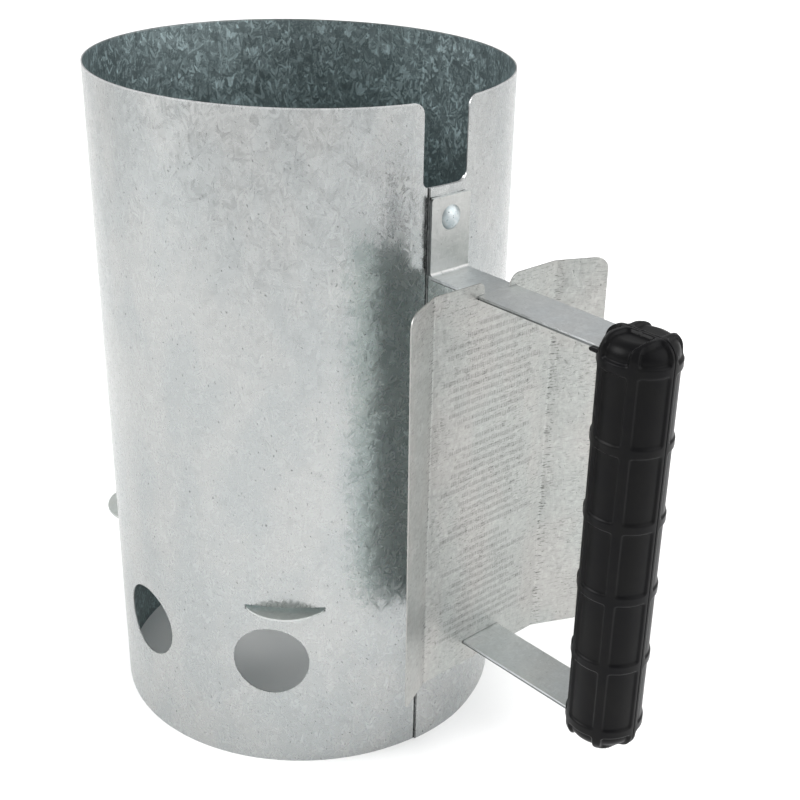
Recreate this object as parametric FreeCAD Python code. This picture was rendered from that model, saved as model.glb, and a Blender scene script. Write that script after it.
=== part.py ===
"""Chimney charcoal starter: a rolled sheet-steel cylinder with a charcoal grate, a riveted
strap handle with a two-part plastic grip, and a bent heat shield hung on the strap.

Own frame, millimetres: the origin is on the cylinder's axis at its bottom edge, +Z points up,
and +X points from the axis towards the handle. Azimuths are degrees from +X, towards +Y.
"""

import FreeCAD, Part
import math
import os

Vector = FreeCAD.Vector
UP = Vector(0, 0, 1)
ORIGIN = Vector(0, 0, 0)

# The chimney: a rolled sheet whose ends lap behind the handle
CHIMNEY_R = 95.0  # outer radius of the single layer
CHIMNEY_H = 314.0
SHEET_T = 0.6
LAP_GAP = 0.15  # between the two layers of the lap
LAP_DEG = (-6.3, 5.8)  # where the outer layer ends, and where the inner one ends
RAMP_DEG = (9.5, 22.0)  # the outer layer steps out over this stretch
REACH = 20.0  # how far a cutting tool runs past the sheet, each way

# The notch in the rim, above the handle
NOTCH_Y = (-13.2, 10.3)
NOTCH_DEPTH = 35.0
NOTCH_RIM_R = 5.0
NOTCH_LAP_CORNER_R = 2.8
NOTCH_CORNER_R = 4.3

# Draught holes low in the wall: none under the handle
VENT_D = 35.5
VENT_Z = 57.5
VENT_AZIMUTHS = (49.2, 92.0, 136.0, 180.0, -136.0, -92.0, -49.2)

# The grate: a perforated disc whose four rounded tabs stand through slots in the wall
GRATE_Z = 84.9
GRATE_T = 1.0
GRATE_RIM_GAP = 1.2
TAB_AZIMUTHS = (45.0, 135.0, -135.0, -45.0)
TAB_R = 21.5
TAB_REACH_R = 102.5  # the tab's tip, from the chimney's axis
SLOT_HALF_W = 18.3
SLOT_H = 2.5
GRATE_HOLE_D = 11.0
GRATE_RING_PITCH = 19.0
GRATE_RINGS = 4
HOLES_PER_RING_STEP = 6

# The handle strap: one flat bar, bent four times between its upper foot and its lower foot
STRAP_T = 1.6
STRAP_W = 21.8
FOOT_GAP = 0.03
ARM_TOP_Z = 242.0
LOWER_ARM_TOP_Z = 74.8
ARM_DROOP = 0.8  # both arms are this much lower at the grip than at the wall
FOOT_LENGTH = 33.0  # from the arm's top face to the foot's end, and the same below
FOOT_BEND_R = 2.4
GRIP_BEND_R = 5.0
FOOT_CORNER_R = 1.5

# Rivets: one through each foot and both layers of the lap
RIVET_RISE = 23.6  # from the arm's outer face to the rivet's centre
RIVET_HEAD_D = 10.6
RIVET_HEAD_H = 2.1
RIVET_SHANK_D = 4.8
RIVET_HOLE_D = 4.9
RIVET_TAIL_D = 7.4
RIVET_TAIL_H = 1.7
RIVET_TAIL_GAP = 0.1

# The heat shield: a flat panel with two wings bent towards the hand
SHIELD_T = 0.6
SHIELD_FRONT_X = 125.9
SHIELD_Z = (62.7, 247.0)
PANEL_HALF_W = 35.2
WING_OUT_X = 10.9  # how far the wing's edge stands in front of the panel
WING_TOP_Y = (-56.8, 57.2)
WING_BOTTOM_Y = (-53.6, 57.4)
WING_BEND_R = 3.0
WING_TOP_CORNER_R = 5.5
WING_BOTTOM_CORNER_R = 2.5
SHIELD_NOTCH_HALF_W = 7.4
SHIELD_NOTCH_CORNER_R = (3.0, 5.5)
SHIELD_SLOT_PLAY = 0.25

# The grip: two moulded half shells that meet on the handle's plane
GRIP_X = 201.3
GRIP_Z = (62.2, 248.0)
GRIP_R = 16.5
GRIP_END_R = 7.5
GRIP_RIB_DEG = 14.6
GRIP_RIBS = 6
GRIP_RINGS = 6
GRIP_FIRST_RING_Z = 73.3
GRIP_RING_PITCH = 32.9
GRIP_RING_H = 4.2
PANEL_DEPTH = 0.8
END_PAD_DEPTH = 1.4
END_PAD_INNER_R = 5.5
BORE_R = 12.8
END_WALL = 3.5
BORE_END_R = 5.0
WEB_T = 2.4
STRAP_RUN_OFFSET = 5.0  # the strap's upright run stands this far beyond the grip's axis
STRAP_PLAY = 0.15
LIP_LENGTH = 4.0
LIP_T = 1.2

# Screws that hold the grip's halves together
SCREW_Z = (123.5, 189.5)
SCREW_OFFSET = -2.0
SCREW_D = 3.0
SCREW_TIP_Y = -8.0
SCREW_HEAD_D = 5.6
SCREW_HEAD_H = 2.0
SCREW_SEAT_Y = 9.5
SCREW_PLAY = 0.1
SCREW_SLOT_W = 0.9
BOSS_D = 8.6

# Worked out from the above
GRIP_RING_Z = [GRIP_FIRST_RING_Z + ring * GRIP_RING_PITCH for ring in range(GRIP_RINGS)]
FOOT_BACK_X = CHIMNEY_R + LAP_GAP + SHEET_T + FOOT_GAP
FOOT_MID_X = FOOT_BACK_X + STRAP_T / 2
FOOT_FRONT_X = FOOT_BACK_X + STRAP_T
ARM_MID_Z = ARM_TOP_Z - STRAP_T / 2
LOWER_ARM_MID_Z = LOWER_ARM_TOP_Z - STRAP_T / 2
UPPER_RIVET_Z = ARM_TOP_Z + RIVET_RISE
LOWER_RIVET_Z = LOWER_ARM_TOP_Z - STRAP_T - RIVET_RISE
STRAP_RUN_X = GRIP_X + STRAP_RUN_OFFSET


def polar(radius, azimuth, z=0.0):
    """A point at this radius from the chimney's axis."""
    angle = math.radians(azimuth)
    return Vector(radius * math.cos(angle), radius * math.sin(angle), z)


def arm_drop(x):
    """How much lower than at the wall the strap's arms are, at this distance from the axis."""
    return ARM_DROOP * (x - FOOT_MID_X) / (STRAP_RUN_X - FOOT_MID_X)


def arc_about_axis(radius, first, last):
    """An arc about the chimney's axis, between two azimuths."""
    middle = (first + last) / 2
    return Part.Arc(polar(radius, first), polar(radius, middle), polar(radius, last)).toShape()


def rounded_wire(corners):
    """A closed wire through (point, radius) corners: straight sides joined by tangent arcs."""
    edges = []
    count = len(corners)
    ends = []
    for index, (point, radius) in enumerate(corners):
        before = (corners[index - 1][0] - point).normalize()
        after = (corners[(index + 1) % count][0] - point).normalize()
        if radius == 0:
            ends.append((point, point, None))
            continue
        half = before.getAngle(after) / 2
        setback = radius / math.tan(half)
        middle = (before + after).normalize()
        dip = radius / math.sin(half) - radius
        ends.append((point + before * setback, point + after * setback, point + middle * dip))
    for index, (start, end, middle) in enumerate(ends):
        if middle is not None:
            edges.append(Part.Arc(start, middle, end).toShape())
        next_start = ends[(index + 1) % count][0]
        if (next_start - end).Length > 1e-6:
            edges.append(Part.LineSegment(end, next_start).toShape())
    return Part.Wire(edges)


def rounded_prism(corners, along):
    """The solid swept from a rounded outline along a vector."""
    return Part.Face(rounded_wire(corners)).extrude(along)


def bent_strip(path, normal, thickness):
    """A flat face that follows a bent path, given as (point, bend radius), with a thickness."""
    points = [point for point, _ in path]
    sides = ([], [])
    for index, (point, radius) in enumerate(path):
        before = (point - points[index - 1]).normalize() if index > 0 else None
        after = (points[index + 1] - point).normalize() if index + 1 < len(points) else None
        first = normal.cross(before or after)
        second = normal.cross(after or before)
        mitre = (first + second).normalize()
        reach = thickness / 2 / mitre.dot(first)
        turn = first.cross(second).dot(normal)
        for side, sign in zip(sides, (1, -1)):
            bend = 0.0
            if radius:
                bend = radius - sign * math.copysign(thickness / 2, turn)
            side.append((point + mitre * reach * sign, bend))
    return Part.Face(rounded_wire(sides[0] + sides[1][::-1]))


def radial_cylinder(diameter, azimuth, z, inner, outer):
    """A cylinder whose axis points out from the chimney's axis."""
    direction = polar(1.0, azimuth)
    return Part.makeCylinder(diameter / 2, outer - inner, polar(inner, azimuth, z), direction)


def box(low, high):
    """A box between two corners."""
    size = Vector(*high) - Vector(*low)
    return Part.makeBox(size.x, size.y, size.z, Vector(*low))


def rolled_sheet():
    """The chimney's wall: one strip of sheet whose ends lap, with no holes yet."""
    outer_end_deg, inner_end_deg = LAP_DEG
    ramp_end, ramp_start = RAMP_DEG
    last = ramp_start - 360.0
    faces = []
    for face_r in (CHIMNEY_R, CHIMNEY_R - SHEET_T):
        raised = face_r + SHEET_T + LAP_GAP
        ramp_middle = polar((face_r + raised) / 2, (ramp_start + ramp_end) / 2)
        ramp = Part.Arc(polar(face_r, ramp_start), ramp_middle, polar(raised, ramp_end))
        faces.append(
            [
                arc_about_axis(face_r, inner_end_deg, last / 2),
                arc_about_axis(face_r, last / 2, last),
                ramp.toShape(),
                arc_about_axis(raised, ramp_end, outer_end_deg),
            ]
        )
    outside, inside = faces
    inner_end = Part.LineSegment(
        polar(CHIMNEY_R - SHEET_T, inner_end_deg), polar(CHIMNEY_R, inner_end_deg)
    )
    outer_end = Part.LineSegment(
        polar(CHIMNEY_R + SHEET_T + LAP_GAP, outer_end_deg),
        polar(CHIMNEY_R + LAP_GAP, outer_end_deg),
    )
    edges = outside + [outer_end.toShape()] + inside + [inner_end.toShape()]
    section = Part.Face(Part.Wire(Part.__sortEdges__(edges)))
    return section.extrude(UP * CHIMNEY_H)


def rim_notch():
    """The cutter for the notch in the rim. Its lap-side lower corner is the tighter one."""
    start = CHIMNEY_R - REACH
    left, right = NOTCH_Y
    beyond = 2 * NOTCH_RIM_R
    floor = CHIMNEY_H - NOTCH_DEPTH
    outline = (
        (left - beyond, CHIMNEY_H, 0),
        (left, CHIMNEY_H, NOTCH_RIM_R),
        (left, floor, NOTCH_LAP_CORNER_R),
        (right, floor, NOTCH_CORNER_R),
        (right, CHIMNEY_H, NOTCH_RIM_R),
        (right + beyond, CHIMNEY_H, 0),
        (right + beyond, CHIMNEY_H + REACH, 0),
        (left - beyond, CHIMNEY_H + REACH, 0),
    )
    corners = [(Vector(start, y, z), radius) for y, z, radius in outline]
    return rounded_prism(corners, Vector(2 * REACH, 0, 0))


def grate_slot(azimuth):
    """The cutter for one slot that a grate tab stands through."""
    low = (CHIMNEY_R - REACH, -SLOT_HALF_W, GRATE_Z)
    high = (CHIMNEY_R + REACH, SLOT_HALF_W, GRATE_Z + SLOT_H)
    slot = box(low, high)
    slot.rotate(ORIGIN, UP, azimuth)
    return slot


def rivet_hole(z):
    """The cutter for a rivet's hole through the foot and the lap."""
    return radial_cylinder(RIVET_HOLE_D, 0, z, CHIMNEY_R - REACH, CHIMNEY_R + REACH)


def chimney_body():
    """The rolled wall with its notch, draught holes, grate slots and rivet holes."""
    cutters = [rim_notch()]
    for azimuth in VENT_AZIMUTHS:
        reach = (CHIMNEY_R - REACH, CHIMNEY_R + REACH)
        cutters.append(radial_cylinder(VENT_D, azimuth, VENT_Z, *reach))
    cutters += [grate_slot(azimuth) for azimuth in TAB_AZIMUTHS]
    cutters += [rivet_hole(UPPER_RIVET_Z), rivet_hole(LOWER_RIVET_Z)]
    return rolled_sheet().cut(cutters)


def charcoal_grate():
    """The perforated disc with its four tabs."""
    disc_r = CHIMNEY_R - SHEET_T - GRATE_RIM_GAP
    plate = Part.makeCylinder(disc_r, GRATE_T, Vector(0, 0, GRATE_Z))
    tab_centre_r = TAB_REACH_R - TAB_R
    tabs = []
    for azimuth in TAB_AZIMUTHS:
        tabs.append(Part.makeCylinder(TAB_R, GRATE_T, polar(tab_centre_r, azimuth, GRATE_Z)))
    holes = [Part.makeCylinder(GRATE_HOLE_D / 2, GRATE_T, Vector(0, 0, GRATE_Z))]
    for ring in range(1, GRATE_RINGS + 1):
        count = HOLES_PER_RING_STEP * ring
        for step in range(count):
            centre = polar(ring * GRATE_RING_PITCH, 360.0 * step / count, GRATE_Z)
            holes.append(Part.makeCylinder(GRATE_HOLE_D / 2, GRATE_T, centre))
    return plate.fuse(tabs).removeSplitter().cut(holes)


def handle_strap():
    """The bent bar: upper foot, upper arm, upright run in the grip, lower arm, lower foot."""
    upper_end = ARM_TOP_Z + FOOT_LENGTH
    lower_end = LOWER_ARM_TOP_Z - STRAP_T - FOOT_LENGTH
    route = (
        (FOOT_MID_X, upper_end, 0),
        (FOOT_MID_X, ARM_MID_Z, FOOT_BEND_R),
        (STRAP_RUN_X, ARM_MID_Z - ARM_DROOP, GRIP_BEND_R),
        (STRAP_RUN_X, LOWER_ARM_MID_Z - ARM_DROOP, GRIP_BEND_R),
        (FOOT_MID_X, LOWER_ARM_MID_Z, FOOT_BEND_R),
        (FOOT_MID_X, lower_end, 0),
    )
    path = [(Vector(x, -STRAP_W / 2, z), radius) for x, z, radius in route]
    bar = bent_strip(path, Vector(0, 1, 0), STRAP_T).extrude(Vector(0, STRAP_W, 0))
    outline = (
        (-STRAP_W / 2, lower_end, FOOT_CORNER_R),
        (STRAP_W / 2, lower_end, FOOT_CORNER_R),
        (STRAP_W / 2, upper_end, FOOT_CORNER_R),
        (-STRAP_W / 2, upper_end, FOOT_CORNER_R),
    )
    corners = [(Vector(0, y, z), radius) for y, z, radius in outline]
    bar = bar.common(rounded_prism(corners, Vector(STRAP_RUN_X + REACH, 0, 0)))
    return bar.cut([rivet_hole(UPPER_RIVET_Z), rivet_hole(LOWER_RIVET_Z)])


def rivet(z):
    """A domed rivet: its head on the foot, and its tail upset inside the chimney."""
    head_r = RIVET_HEAD_D / 2
    tail_face_x = CHIMNEY_R - SHEET_T - RIVET_TAIL_GAP
    rise = Vector(RIVET_HEAD_H, 0, 0)
    seat = Vector(FOOT_FRONT_X, 0, z)
    edge = seat + Vector(0, head_r, 0)
    # the dome's sphere passes through the head's rim and its crown
    sphere_r = (head_r**2 + RIVET_HEAD_H**2) / (2 * RIVET_HEAD_H)
    half = math.asin(head_r / sphere_r) / 2
    centre = seat + rise - Vector(sphere_r, 0, 0)
    shoulder = centre + Vector(math.cos(half), math.sin(half), 0) * sphere_r
    dome = Part.Arc(seat + rise, shoulder, edge).toShape()
    rim = Part.LineSegment(edge, seat).toShape()
    axis_line = Part.LineSegment(seat, seat + rise).toShape()
    head = Part.Face(Part.Wire([dome, rim, axis_line])).revolve(seat, Vector(1, 0, 0), 360)
    shank_start = Vector(tail_face_x, 0, z)
    shank_length = FOOT_FRONT_X - tail_face_x
    shank = Part.makeCylinder(RIVET_SHANK_D / 2, shank_length, shank_start, Vector(1, 0, 0))
    tail_end = Vector(tail_face_x - RIVET_TAIL_H, 0, z)
    tail = Part.makeCylinder(RIVET_TAIL_D / 2, RIVET_TAIL_H, tail_end, Vector(1, 0, 0))
    return head.fuse([shank, tail]).removeSplitter()


def shield_slot(arm_top_z):
    """The cutter for the slot that one arm of the strap passes through."""
    half = STRAP_W / 2 + SHIELD_SLOT_PLAY
    top_z = arm_top_z - arm_drop(SHIELD_FRONT_X)
    low = (SHIELD_FRONT_X - REACH, -half, top_z - STRAP_T - SHIELD_SLOT_PLAY)
    high = (SHIELD_FRONT_X + REACH, half, top_z + SHIELD_SLOT_PLAY)
    return box(low, high)


def shield_notch():
    """The cutter that opens the upper slot to the shield's top edge."""
    left_r, right_r = SHIELD_NOTCH_CORNER_R
    top = SHIELD_Z[1]
    floor = ARM_TOP_Z - STRAP_T / 2
    end = SHIELD_NOTCH_HALF_W + 2 * right_r
    outline = (
        (-end, top, 0),
        (-SHIELD_NOTCH_HALF_W, top, left_r),
        (-SHIELD_NOTCH_HALF_W, floor, 0),
        (SHIELD_NOTCH_HALF_W, floor, 0),
        (SHIELD_NOTCH_HALF_W, top, right_r),
        (end, top, 0),
        (end, top + REACH, 0),
        (-end, top + REACH, 0),
    )
    start = SHIELD_FRONT_X - REACH
    corners = [(Vector(start, y, z), radius) for y, z, radius in outline]
    return rounded_prism(corners, Vector(2 * REACH, 0, 0))


def heat_shield():
    """The bent sheet between the chimney and the hand, hung on the strap's arms."""
    bottom, top = SHIELD_Z
    mid_x = SHIELD_FRONT_X - SHIELD_T / 2
    edge_x = mid_x + WING_OUT_X
    edge_y = max(WING_BOTTOM_Y) + SHIELD_T
    route = (
        (edge_x, -edge_y, 0),
        (mid_x, -PANEL_HALF_W, WING_BEND_R),
        (mid_x, PANEL_HALF_W, WING_BEND_R),
        (edge_x, edge_y, 0),
    )
    path = [(Vector(x, y, bottom), radius) for x, y, radius in route]
    sheet = bent_strip(path, UP, SHIELD_T).extrude(UP * (top - bottom))
    outline = (
        (WING_BOTTOM_Y[0], bottom, WING_BOTTOM_CORNER_R),
        (WING_BOTTOM_Y[1], bottom, WING_BOTTOM_CORNER_R),
        (WING_TOP_Y[1], top, WING_TOP_CORNER_R),
        (WING_TOP_Y[0], top, WING_TOP_CORNER_R),
    )
    start = SHIELD_FRONT_X - REACH
    corners = [(Vector(start, y, z), radius) for y, z, radius in outline]
    sheet = sheet.common(rounded_prism(corners, Vector(2 * REACH, 0, 0)))
    return sheet.cut([shield_notch(), shield_slot(ARM_TOP_Z), shield_slot(LOWER_ARM_TOP_Z)])


def grip_turned(radius, low, high, end_radius):
    """A turned bar on the grip's axis with rounded ends."""
    outline = (
        (0, low, 0),
        (radius, low, end_radius),
        (radius, high, end_radius),
        (0, high, 0),
    )
    corners = [(Vector(GRIP_X + x, 0, z), bend) for x, z, bend in outline]
    profile = Part.Face(rounded_wire(corners))
    return profile.revolve(Vector(GRIP_X, 0, 0), UP, 360)


def grip_sector(profile, azimuth):
    """A profile in the grip's radial plane, swept through the width between two ribs."""
    width = 360.0 / GRIP_RIBS - GRIP_RIB_DEG
    axis_point = Vector(GRIP_X, 0, 0)
    start = profile.copy()
    start.rotate(axis_point, UP, azimuth - width / 2)
    return start.revolve(axis_point, UP, width)


def grip_recesses():
    """Cutters for the sunk panels between the ribs and rings, and the pads on both ends."""
    inner = GRIP_X + GRIP_R - PANEL_DEPTH
    outer = GRIP_X + GRIP_R + PANEL_DEPTH
    profiles = []
    for below, above in zip(GRIP_RING_Z, GRIP_RING_Z[1:]):
        low = below + GRIP_RING_H / 2
        high = above - GRIP_RING_H / 2
        outline = ((inner, low), (outer, low), (outer, high), (inner, high))
        profiles.append(Part.Face(rounded_wire([(Vector(x, 0, z), 0) for x, z in outline])))
    ends = (
        (GRIP_Z[0], GRIP_RING_Z[0] - GRIP_RING_H / 2, 1),
        (GRIP_Z[1], GRIP_RING_Z[-1] + GRIP_RING_H / 2, -1),
    )
    for end_z, ring_edge_z, inward in ends:
        low = end_z - REACH * inward
        floor = end_z + END_PAD_DEPTH * inward
        outline = (
            (GRIP_X + END_PAD_INNER_R, low, 0),
            (GRIP_X + GRIP_R + REACH, low, 0),
            (GRIP_X + GRIP_R + REACH, ring_edge_z, 0),
            (GRIP_X + GRIP_R - PANEL_DEPTH, ring_edge_z, 0),
            (GRIP_X + GRIP_R - PANEL_DEPTH, floor, GRIP_END_R),
            (GRIP_X + END_PAD_INNER_R, floor, 0),
        )
        corners = [(Vector(x, 0, z), radius) for x, z, radius in outline]
        profiles.append(Part.Face(rounded_wire(corners)))
    cutters = []
    for rib in range(GRIP_RIBS):
        azimuth = 360.0 / GRIP_RIBS * (rib + 0.5)
        cutters += [grip_sector(profile, azimuth) for profile in profiles]
    return cutters


def grip_bore():
    """The hollow inside the grip, with webs left in it at the middle rings."""
    bore = grip_turned(BORE_R, GRIP_Z[0] + END_WALL, GRIP_Z[1] - END_WALL, BORE_END_R)
    webs = []
    for ring_z in GRIP_RING_Z[1:-1]:
        low = (GRIP_X - BORE_R - 1, -BORE_R - 1, ring_z - WEB_T / 2)
        high = (GRIP_X + BORE_R + 1, BORE_R + 1, ring_z + WEB_T / 2)
        webs.append(box(low, high))
    return bore.cut(webs)


def strap_channel():
    """Cutters for the strap's way in, through the webs and out again."""
    half = STRAP_W / 2 + STRAP_PLAY
    arm_half = STRAP_T / 2 + STRAP_PLAY
    start = GRIP_X - GRIP_R - REACH
    drop = arm_drop(GRIP_X - GRIP_R)
    cutters = []
    for arm_z in (ARM_MID_Z - drop, LOWER_ARM_MID_Z - drop):
        low = (start, -half, arm_z - arm_half)
        cutters.append(box(low, (GRIP_X, half, arm_z + arm_half)))
    low = (STRAP_RUN_X - arm_half, -half, LOWER_ARM_MID_Z)
    cutters.append(box(low, (STRAP_RUN_X + arm_half, half, ARM_MID_Z - ARM_DROOP)))
    return cutters


def strap_lips():
    """Small lips on the grip that hold the strap's edges where it goes in at the top."""
    side = STRAP_W / 2 + STRAP_PLAY
    start = GRIP_X - GRIP_R + 1.0 - LIP_LENGTH
    top_z = ARM_TOP_Z - arm_drop(start)
    low_z = top_z - STRAP_T - LIP_T
    lips = []
    for sign in (-1, 1):
        first = sign * side
        second = sign * (side + LIP_T)
        low = (start, min(first, second), low_z)
        high = (GRIP_X - BORE_R / 2, max(first, second), top_z)
        lips.append(box(low, high))
    return lips


def screw_bosses():
    """Round bosses between the two halves, one round each screw."""
    return [
        Part.makeCylinder(
            BOSS_D / 2,
            2 * (BORE_R + 1),
            Vector(GRIP_X + SCREW_OFFSET, -BORE_R - 1, z),
            Vector(0, 1, 0),
        )
        for z in SCREW_Z
    ]


def along_grip_width(diameter, z, first_y, last_y):
    """A cylinder along Y on a screw's axis."""
    start = Vector(GRIP_X + SCREW_OFFSET, first_y, z)
    return Part.makeCylinder(diameter / 2, last_y - first_y, start, Vector(0, 1, 0))


def grip_halves():
    """Both half shells of the grip: the one on the -Y side and the one on the +Y side."""
    outside = grip_turned(GRIP_R, GRIP_Z[0], GRIP_Z[1], GRIP_END_R)
    outside = outside.fuse(strap_lips()).cut(grip_recesses())
    bosses = screw_bosses()[0].fuse(screw_bosses()[1:])
    shell = outside.cut(grip_bore()).fuse(bosses).cut(strap_channel())
    holes = []
    for z in SCREW_Z:
        holes.append(along_grip_width(SCREW_D + SCREW_PLAY, z, SCREW_TIP_Y - 1, SCREW_SEAT_Y))
        holes.append(along_grip_width(SCREW_HEAD_D + 4 * SCREW_PLAY, z, SCREW_SEAT_Y, 2 * GRIP_R))
    shell = shell.cut(holes)
    start_x = GRIP_X - 2 * GRIP_R
    end_x = GRIP_X + 2 * GRIP_R
    low_z, high_z = GRIP_Z[0] - 1, GRIP_Z[1] + 1
    left = shell.common(box((start_x, -2 * GRIP_R, low_z), (end_x, 0, high_z)))
    right = shell.common(box((start_x, 0, low_z), (end_x, 2 * GRIP_R, high_z)))
    return left, right


def grip_screw(z):
    """A pan-head screw with a cross of two slots, its head in the +Y half."""
    shank = along_grip_width(SCREW_D, z, SCREW_TIP_Y, SCREW_SEAT_Y)
    head = along_grip_width(SCREW_HEAD_D, z, SCREW_SEAT_Y, SCREW_SEAT_Y + SCREW_HEAD_H)
    reach = SCREW_HEAD_D * 0.3
    thin = SCREW_SLOT_W / 2
    middle_x = GRIP_X + SCREW_OFFSET
    floor_y = SCREW_SEAT_Y + SCREW_HEAD_H / 2
    top_y = SCREW_SEAT_Y + SCREW_HEAD_H
    upright = box((middle_x - thin, floor_y, z - reach), (middle_x + thin, top_y, z + reach))
    level = box((middle_x - reach, floor_y, z - thin), (middle_x + reach, top_y, z + thin))
    return shank.fuse(head).cut([upright, level]).removeSplitter()


def main():
    left, right = grip_halves()
    nodes = {
        "chimney_body": chimney_body(),
        "charcoal_grate": charcoal_grate(),
        "handle_strap": handle_strap(),
        "heat_shield": heat_shield(),
        "upper_rivet": rivet(UPPER_RIVET_Z),
        "lower_rivet": rivet(LOWER_RIVET_Z),
        "grip_half_left": left,
        "grip_half_right": right,
        "lower_grip_screw": grip_screw(SCREW_Z[0]),
        "upper_grip_screw": grip_screw(SCREW_Z[1]),
    }
    os.makedirs("parts", exist_ok=True)
    for name, shape in nodes.items():
        if len(shape.Solids) != 1 or not shape.isValid():
            raise SystemExit(f"{name}: {len(shape.Solids)} solids, valid {shape.isValid()}")
        solid = shape.Solids[0]
        solid.exportStep(f"parts/{name}.step")
        size = solid.BoundBox
        print(
            f"{name:18s} {solid.Volume:10.1f} mm3  "
            f"x {size.XMin:7.2f} {size.XMax:7.2f}  y {size.YMin:7.2f} {size.YMax:7.2f}  "
            f"z {size.ZMin:7.2f} {size.ZMax:7.2f}"
        )


main()
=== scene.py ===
"""Looks of the chimney charcoal starter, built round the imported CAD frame.

Everything is in metres in the CAD frame: the origin is on the cylinder's axis at its bottom
edge, +Z is up and +X points towards the handle. Sizes named in millimetres are turned into
metres with MM where they are used. Azimuths are degrees from +X, towards +Y.
"""
import math
import bmesh
import bpy
from mathutils import Matrix, Vector


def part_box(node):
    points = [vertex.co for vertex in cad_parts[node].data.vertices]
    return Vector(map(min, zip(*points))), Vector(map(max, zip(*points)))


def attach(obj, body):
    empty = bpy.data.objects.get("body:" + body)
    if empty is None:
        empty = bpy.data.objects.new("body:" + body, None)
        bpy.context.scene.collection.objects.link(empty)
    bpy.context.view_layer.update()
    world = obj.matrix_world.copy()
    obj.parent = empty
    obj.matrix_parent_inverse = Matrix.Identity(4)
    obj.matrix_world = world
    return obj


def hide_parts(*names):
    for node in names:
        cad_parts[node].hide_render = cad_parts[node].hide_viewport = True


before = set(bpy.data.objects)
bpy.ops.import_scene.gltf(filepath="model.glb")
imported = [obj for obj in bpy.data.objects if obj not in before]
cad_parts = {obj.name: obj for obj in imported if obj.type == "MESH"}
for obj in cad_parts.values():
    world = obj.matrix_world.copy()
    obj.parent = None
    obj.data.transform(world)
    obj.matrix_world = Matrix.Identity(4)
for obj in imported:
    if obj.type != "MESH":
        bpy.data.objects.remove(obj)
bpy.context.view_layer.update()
MM = 0.001

# The camera, placed as the photographer stood: in front of the grip, to its right, and above
CAMERA_AT = (0.4928, -0.3860, 0.4402)
CAMERA_YAW = 134.61
CAMERA_PITCH = -26.22
CAMERA_ROLL = 2.48
CAMERA_LENS = 62.4
CAMERA_SHIFT = (-0.084, 0.037)

# Studio: an even surround, brighter on two sides, and soft boxes that face the floor
SURROUND = 0.62
GLOWS = (
    # azimuth, elevation, added strength, and how far from there it ends and is full, in degrees
    (34.0, 27.0, 1.7, 48.0, 18.0),
    (-130.0, 34.0, 7.0, 22.0, 10.0),
)
SOFTBOXES = {
    # azimuth, then distance from the axis, height and width in metres, and power in watts
    "near_softbox": (-24.0, 0.30, 1.0, 0.8, 5.6),
    "left_softbox": (-114.0, 1.10, 0.55, 0.4, 2.2),
    "right_softbox": (40.0, 1.10, 0.55, 0.4, 0.8),
    "back_softbox": (142.0, 1.15, 0.9, 0.7, 4.0),
    "low_softbox": (16.0, 0.52, 0.30, 0.2, 0.6),
}

# The grip's moulding, in millimetres. Its axis, radius and ends come from the CAD halves
GRIP_END_R = 7.5  # the rounding of each end
GRIP_RIBS = 6
GRIP_RIB_W = 4.1
END_RIB_W = 3.0  # the ribs on the ends are narrower
GRIP_RINGS = 6
GRIP_FIRST_RING = 10.6  # from the grip's lower end to the middle of its lowest ring
GRIP_RING_PITCH = 32.9
GRIP_RING_H = 4.2
GRIP_SLOPE_W = 1.1  # how wide the slope is from a rib's top down to a panel
GRIP_CORNER = 1.6  # how much the panels' corners are rounded
PANEL_DEPTH = 0.75
PAD_DEPTH = 1.4  # the pads are the sunk fields on the ends
JUNCTIONS_X = (-6.8, 9.0)  # where the ribs on each end meet, from the grip's axis
GRIP_WALL = 3.2
HOLLOW_BEND_R = 7.0
PARTING_GAP = 0.16
PARTING_CHAMFER = 0.3

# How finely the grip's mesh is cut
BEND_STEPS = 16
HOLLOW_STEPS = 24
SIDE_FILL = 7.0  # the longest gap between two rows along the side, in millimetres
TURN_FILL = 0.9  # and between two columns round it
SLOPE_STATIONS = (0.0, 0.45, 0.7, 0.85, 1.0, 1.15, 1.3, 1.6)  # in half widths of a rib

# What the grip's halves are cut for, in millimetres: the strap's arms and the two screws
STRAP_W = 21.8
STRAP_PLAY = 0.15
UPPER_ARM_Z = (239.6, 241.4)
LOWER_ARM_Z = (72.4, 74.2)
LIP_T = 1.2
LIP_START_X = 186.3
LIP_Z = (238.6, 240.3)  # beside and just under the upper arm
SCREW_OFFSET_X = -2.0  # from the grip's axis
SCREW_SEAT_Y = 9.5
SCREW_HEAD_HOLE_D = 6.0
SCREW_SHANK_HOLE_D = 3.1
SCREW_BOSS_D = 8.6

# The four sheets. A look's inner values are for the faces that its layout marks as inner.
# Flecks is how dark the flecks are, from 0 to 1, and pitting how rough the sheet is.
WALL_LOOK = {
    "tint": (0.374, 0.391, 0.391),
    "warm_tint": (0.395, 0.404, 0.400),
    # Paler than the tint: partly the bare cut metal, partly a painted highlight along the rim and
    # cut edges.
    "edge_tint": (0.56, 0.57, 0.57),
    "roughness": 0.28,
    "flecks": 0.42,
    "inner_and_painted_light_tint": (0.345, 0.42, 0.43),
    "inner_roughness": 0.5,
    "inner_contrast": 0.7,
}
SHIELD_LOOK = {
    "tint": (0.36, 0.372, 0.358),
    "warm_tint": (0.373, 0.372, 0.357),
    "edge_tint": (0.36, 0.36, 0.345),
    "roughness": 0.4,
    "flecks": 0.25,
    # Painted light: the shield's back, facing the wall, is painted about twice as pale as its
    # front, to lift it out of its shade.
    "inner_and_painted_light_tint": (0.74, 0.82, 0.80),
    "inner_roughness": 0.5,
    "inner_contrast": 0.05,
    "pitting": 1.0,
}
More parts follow.
